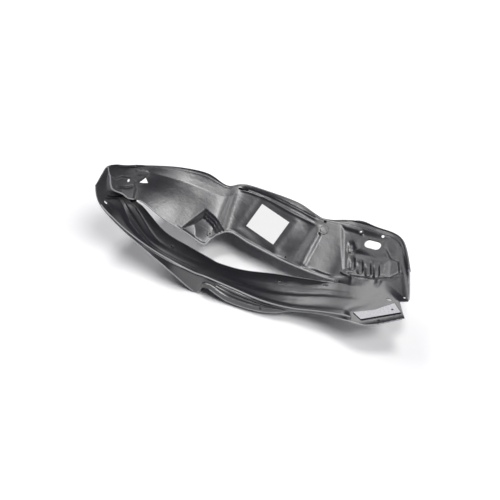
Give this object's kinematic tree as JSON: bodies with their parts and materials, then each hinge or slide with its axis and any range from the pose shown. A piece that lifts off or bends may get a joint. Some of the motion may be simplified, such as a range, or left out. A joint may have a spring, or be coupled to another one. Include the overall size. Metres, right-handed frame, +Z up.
{
  "type": "wheel arch liner",
  "caption": "Moulded plastic liner for a front wheel arch, with a strut opening, clip pocket, service hole, fastening holes and a blank label.",
  "frame": {"origin": "centre of the bounding box in X and Y, at its lowest point in Z", "axes": "+X from the rear end to the front end, +Y from the outer lip to the inboard side, +Z up, with the liner lying on its crown and the wheel side up"},
  "size_m": [0.8372, 0.3218, 0.3161],
  "materials": {
    "plastic": "semi-gloss black moulded plastic",
    "paper": "white stuck-on label, blank"
  },
  "bodies": {
    "root": {"liner": "plastic", "label": "paper"}
  },
  "joints": []
}
